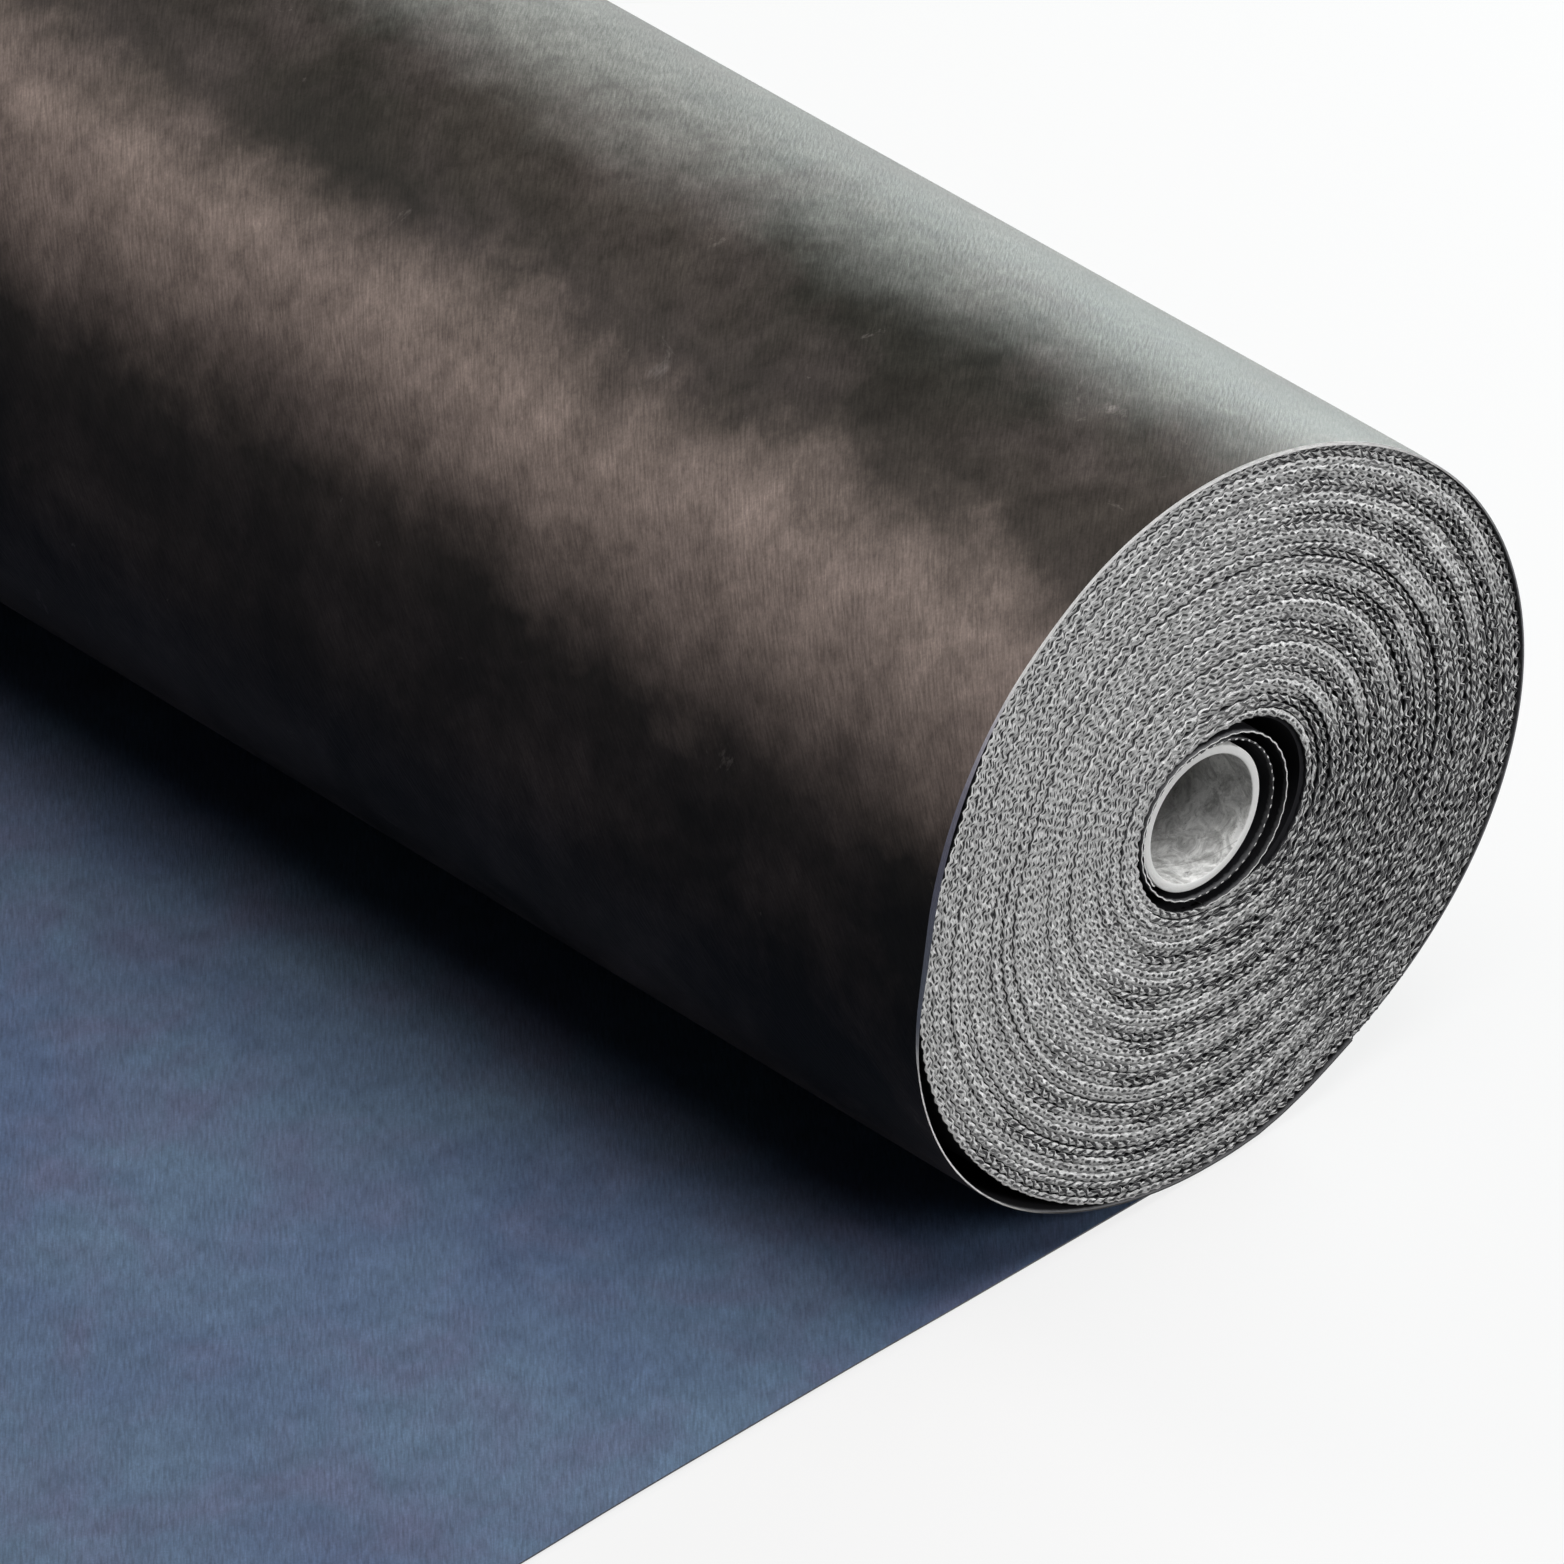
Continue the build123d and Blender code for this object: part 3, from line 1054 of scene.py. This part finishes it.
    # loose turns fold back and forth with sharp bends, every second one the other way round
    mirror = calc("*+", calc("FLOORED_MODULO", calc("FLOOR", turns), 2.0), -2.0, 1.0)
    folded = calc("*", calc("*+", calc("FRACT", waves), 2.0, -1.0), mirror)
    curve = calc("SINE", phase)
    curve = calc("*+", calc("-", folded, curve), loose, curve)
    wave = calc("*", curve, height,
                wander(plyWaves["heightPace"], *plyWaves["heights"], plyWaves["heightSeed"]))
    reach = calc("+", calc("+", radius, depth), calc("+", wave, calc("*", outside, halfPly)))

    # the cut isn't level: some turns stand back, and every edge is ragged
    ragged = addNode(tree, "ShaderNodeTexWhiteNoise", {"W": index},
                     noise_dimensions="1D").outputs["Value"]
    swing = calc("SINE", calc("+", phase, calc("*", outside, plyWaves["swingLag"])))
    standBack = calc("*", spreadOut(tree, ring, *plyWaves["ringLevels"]), size["Ring step"])
    tilt = calc("*", calc("*+", swing, 0.5, ragged), size["Tilt"])
    standBack = calc("+", calc("+", standBack, tilt), plyWaves["leastBack"])
    deep = calc("*", calc("-", 1.0, atFront), size["Depth"])
    inwards = calc("+", calc("*", standBack, atFront), deep)

    x = calc("+", calc("*+", reach, cosine, flat), calc("*", size["Opening x"], inShare))
    z = calc("*+", reach, sine, calc("*", size["Opening z"], inShare))
    y = calc("*+", inwards, size["Inwards"], size["End y"])
    spotOnEnd = joinUp(tree, calc("+", x, rollX), y, calc("+", z, rollZ))
    shaped = addNode(tree, "GeometryNodeSetPosition", {
        "Geometry": strip.outputs[0], "Position": spotOnEnd})
    held = joinUp(tree, waves, outside, calc("*", loose, mirror))
    marked = addNode(tree, "GeometryNodeStoreNamedAttribute", {
        "Geometry": shaped.outputs[0], "Name": "ply", "Value": held},
        data_type="FLOAT_VECTOR", domain="POINT")
    realized = addNode(tree, "GeometryNodeRealizeInstances", {"Geometry": marked.outputs[0]})
    # the ply walls are painted in shade; the cut faces take the ply edge material
    walls = addNode(tree, "GeometryNodeSetMaterial", {
        "Geometry": realized.outputs[0], "Material": paintedShadeFelt})
    cutFace = calc("COMPARE", calc("FLOORED_MODULO", index, 4.0), 1.0, 0.1)
    edges = addNode(tree, "GeometryNodeSetMaterial", {
        "Geometry": walls.outputs[0], "Selection": cutFace, "Material": plyEdge})
    output = tree.nodes.new("NodeGroupOutput")
    tree.links.new(edges.outputs[0], output.inputs[0])
    return tree


def grown(name, tree, sizes):
    # runs a tree with these sizes and keeps its result as a plain mesh
    holder = bpy.data.objects.new(name, bpy.data.meshes.new(name))
    scene.collection.objects.link(holder)
    modifier = holder.modifiers.new("grow", "NODES")
    modifier.node_group = tree
    for item in tree.interface.items_tree:
        if item.item_type == "SOCKET" and item.in_out == "INPUT" and item.name in sizes:
            modifier[item.identifier] = sizes[item.name]
    evaluated = holder.evaluated_get(bpy.context.evaluated_depsgraph_get())
    mesh = bpy.data.meshes.new_from_object(evaluated)
    holder.modifiers.remove(modifier)
    bpy.data.objects.remove(holder)
    mesh.name = name
    return addPiece(name, mesh)


# The core tube, wound of grey board, with slightly soft lips

core = {
    "wall": 0.0035,
    "lip": 0.0005,
    "lipRound": (0.4, 0.25),  # middle of the lip's round, in lips from its two faces
    "endRing": 0.03,
    "sides": 120,
}


def makeCore():
    inner, lip = coreRadius - core["wall"], core["lip"]
    aside, back = core["lipRound"][0] * lip, core["lipRound"][1] * lip
    near, far = coreEndY - lip, coreEndY - core["endRing"]
    stations = (-near, -far, 0.0, far, near)
    lips = [(coreRadius - aside, coreEndY - back), (coreRadius - lip, coreEndY),
            (inner + lip, coreEndY), (inner + aside, coreEndY - back)]
    # (radius, y) round the wall's section: the outside, the far lips, the bore, the near lips
    profile = [(coreRadius, y) for y in stations] + lips
    profile += [(inner, y) for y in reversed(stations)]
    profile += [(radius, -y) for radius, y in reversed(lips)]

    sides, count = core["sides"], len(profile)
    vertices, faces, cornerUvs = [], [], []
    for i in range(sides):
        angle = fullTurn * i / sides
        vertices += [(radius * cos(angle), y, radius * sin(angle))
                     for radius, y in profile]
    for i in range(sides):
        for j in range(count):
            ring, nextRing, nextOne = i * count, (i + 1) % sides * count, (j + 1) % count
            faces.append((ring + j, ring + nextOne, nextRing + nextOne, nextRing + j))
            for turn, (radius, y) in ((i, profile[j]), (i, profile[nextOne]),
                                      (i + 1, profile[nextOne]), (i + 1, profile[j])):
                cornerUvs.append((fullTurn * coreRadius * turn / sides, y + radius - inner))
    mesh = newMesh("core_board", vertices, faces, [greyBoard], cornerUvs)
    mesh.polygons.foreach_set("use_smooth", [True] * len(faces))
    return addPiece("core_board", mesh)


outerPiece, outerPath = makeOuterWeb()
loosePiece, loosePath = makeLooseTurns()
bodyPiece = makeWindingBody()
spiral = plyTree()
frontPlies = grown("front_ply_edges", spiral, plies)
backPlies = grown("back_ply_edges", spiral, {**plies, "End y": endY, "Inwards": -1.0})
corePiece = makeCore()

for piece, slotName in ((outerPiece, "membrane_outer"), (loosePiece, "membrane_inner"),
                        (bodyPiece, "membrane_inner"), (frontPlies, "membrane_edge"),
                        (backPlies, "membrane_edge")):
    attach(piece, "root")
    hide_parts("underlayment_membrane")
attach(corePiece, "root")
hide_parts("core_tube")
pathLength(outerPath)
pathLength(loosePath)
print("pieces ride on the frame")


# Pale floor and white surroundings, which the camera and reflections see and the light doesn't

studio = {
    "floorHalf": 30.0,
    "floorGap": 0.0002,
    "floorColor": rgb(0.08, 0.08, 0.08),
    "floorRoughness": 0.9,
    "floorGlow": 0.80,
    "horizon": 0.955,  # white near the horizon, dark overhead
    "ceiling": 0.10,
    "fadeFrom": 0.10,  # height of a direction, as a sine
    "fadeTo": 0.40,
    "diffuse": 0.02,
}


def seenDirectly(tree, calc):
    rays = addNode(tree, "ShaderNodeLightPath").outputs
    seen = calc("MAXIMUM", rays["Is Camera Ray"], rays["Is Glossy Ray"])
    return calc("MAXIMUM", seen, rays["Is Transmission Ray"])


def makeFloor():
    half, z = studio["floorHalf"], floorZ - studio["floorGap"]
    mesh = bpy.data.meshes.new("floor")
    corners = [(-half, -half, z), (half, -half, z), (half, half, z), (-half, half, z)]
    mesh.from_pydata(corners, [], [(0, 1, 2, 3)])
    floor = bpy.data.objects.new("floor", mesh)
    scene.collection.objects.link(floor)
    made, tree, shader, calc = newMaterial("pale floor")
    plug(tree, shader, {
        "Base Color": studio["floorColor"],
        "Roughness": studio["floorRoughness"],
        "Emission Color": rgb(1, 1, 1),
        "Emission Strength": calc("*", seenDirectly(tree, calc), studio["floorGlow"])})
    mesh.materials.append(made)


def makeWorld():
    world = bpy.data.worlds.new("studio")
    scene.world = world
    world.use_nodes = True
    tree = world.node_tree
    tree.nodes.clear()
    direction = addNode(tree, "ShaderNodeTexCoord").outputs["Generated"]
    shade = spreadOut(tree, splitUp(tree, direction)[2], studio["fadeFrom"], studio["fadeTo"],
                      studio["horizon"], studio["ceiling"])
    white = rgb(1, 1, 1)
    dim = addNode(tree, "ShaderNodeBackground", {"Color": white, "Strength": studio["diffuse"]})
    bright = addNode(tree, "ShaderNodeBackground", {"Color": white, "Strength": shade})
    mixed = addNode(tree, "ShaderNodeMixShader", {
        0: seenDirectly(tree, calcIn(tree)), 1: dim.outputs[0], 2: bright.outputs[0]})
    addNode(tree, "ShaderNodeOutputWorld", {"Surface": mixed.outputs[0]})


lamps = {
    "key": {"at": (0.42, -0.80, 2.17), "size": (1.7, 1.2), "power": 51.0,
            "color": (1.0, 1.0, 1.0)},
    "sheen": {"at": (2.34, 0.44, 0.38), "size": (1.61, 1.06), "power": 74.0,
              "color": (0.88, 1.0, 1.0)},
    "band": {"at": (-0.45, 1.50, 1.95), "size": (0.9, 0.9), "power": 22.0,
             "color": (1.0, 0.93, 0.88)},
    "fill": {"at": (0.45, -2.30, 0.85), "size": (0.9, 0.7), "power": 24.0,
             "color": (1.0, 1.0, 1.0)},
}


def makeLamps():
    for name, look in lamps.items():
        data = bpy.data.lights.new(name, "AREA")
        data.shape = "RECTANGLE"
        data.size, data.size_y = look["size"]
        data.energy = look["power"]
        data.color = look["color"]
        lamp = bpy.data.objects.new(name, data)
        lamp.location = look["at"]
        lamp.rotation_euler = (-lamp.location).to_track_quat("-Z", "Y").to_euler()  # to the roll
        lamp.visible_camera = False
        scene.collection.objects.link(lamp)


# Camera at the photograph's viewing angle, far off behind a long lens

shot = {
    "azimuth": radians(-42.305),
    "elevation": radians(35.551),
    "turned": radians(-1.997),
    "distance": 45 * rollRadius,
    "sensor": 36.0,  # millimetres
    "clip": (0.5, 100.0),
    "photoSide": 1564,  # pixels
    "radiusPixels": 421.03,  # the roll's radius in the photograph, at that distance
    "faceRight": 1.0578,  # the near end's middle, from the middle of the frame, in roll radii
    "faceUp": -0.0849,
}


def makeCamera():
    azimuth, elevation, turned = shot["azimuth"], shot["elevation"], shot["turned"]
    back = Vector((cos(elevation) * sin(azimuth), -cos(elevation) * cos(azimuth), sin(elevation)))
    level = (-back).cross(Vector((0, 0, 1))).normalized()
    upright = level.cross(-back)
    right = level * cos(turned) + upright * sin(turned)
    up = upright * cos(turned) - level * sin(turned)
    face = Vector((rollX, -endY, rollZ))
    spot = face + back * shot["distance"] - right * shot["faceRight"] * rollRadius \
        - up * shot["faceUp"] * rollRadius
    data = bpy.data.cameras.new("camera")
    data.sensor_width = shot["sensor"]
    data.lens = shot["sensor"] * shot["radiusPixels"] / rollRadius * shot["distance"] \
        / shot["photoSide"]
    data.clip_start, data.clip_end = shot["clip"]
    camera = bpy.data.objects.new("camera", data)
    scene.collection.objects.link(camera)
    camera.matrix_world = Matrix((
        (right.x, up.x, back.x, spot.x),
        (right.y, up.y, back.y, spot.y),
        (right.z, up.z, back.z, spot.z),
        (0, 0, 0, 1)))
    scene.camera = camera


makeFloor()
makeWorld()
makeLamps()
makeCamera()
scene.view_settings.view_transform = "Standard"
print("stage, lamps and camera ready")
